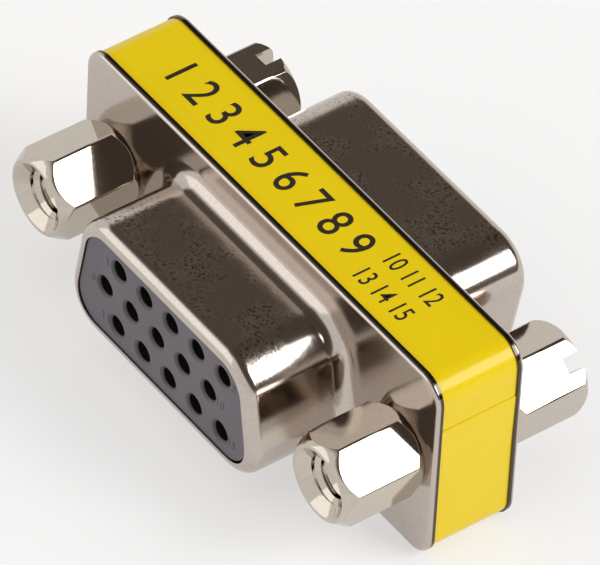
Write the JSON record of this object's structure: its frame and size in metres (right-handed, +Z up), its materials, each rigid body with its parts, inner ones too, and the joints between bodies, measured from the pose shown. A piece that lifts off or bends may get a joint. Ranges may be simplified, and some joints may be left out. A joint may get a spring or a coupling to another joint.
{
  "type": "d-sub gender changer",
  "caption": "Low-profile adapter with female high-density D-sub sockets back to back on flanged steel shells, a yellow wrapped body and hexagonal jack sockets beside each socket.",
  "frame": {"origin": "under the middle of the body, on the plane that the two flange edges stand on", "axes": "+X along the flanges, +Y the mating axis towards the rear connector, +Z up"},
  "size_m": [0.0308, 0.0176, 0.0125],
  "materials": {
    "nickel_shell": "bright nickel plate",
    "nickel_jack": "bright nickel plate",
    "grey_moulding": "satin moulded",
    "spacer_moulding": "satin moulded",
    "yellow_label": "gloss film",
    "green_board": "solder mask",
    "contact_metal": "gold flash"
  },
  "bodies": {
    "root": {"front_shell": "nickel_shell", "rear_shell": "nickel_shell", "front_insulator": "grey_moulding", "rear_insulator": "grey_moulding", "spacer": "spacer_moulding", "label": "yellow_label", "circuit_board": "green_board", "front_jack_left": "nickel_jack", "front_jack_right": "nickel_jack", "rear_jack_left": "nickel_jack", "rear_jack_right": "nickel_jack", "front_contact_1": "contact_metal", "front_contact_2": "contact_metal", "front_contact_3": "contact_metal", "front_contact_4": "contact_metal", "front_contact_5": "contact_metal", "front_contact_6": "contact_metal", "front_contact_7": "contact_metal", "front_contact_8": "contact_metal", "front_contact_9": "contact_metal", "front_contact_10": "contact_metal", "front_contact_11": "contact_metal", "front_contact_12": "contact_metal", "front_contact_13": "contact_metal", "front_contact_14": "contact_metal", "front_contact_15": "contact_metal", "rear_contact_1": "contact_metal", "rear_contact_2": "contact_metal", "rear_contact_3": "contact_metal", "rear_contact_4": "contact_metal", "rear_contact_5": "contact_metal", "rear_contact_6": "contact_metal", "rear_contact_7": "contact_metal", "rear_contact_8": "contact_metal", "rear_contact_9": "contact_metal", "rear_contact_10": "contact_metal", "rear_contact_11": "contact_metal", "rear_contact_12": "contact_metal", "rear_contact_13": "contact_metal", "rear_contact_14": "contact_metal", "rear_contact_15": "contact_metal"}
  },
  "joints": []
}
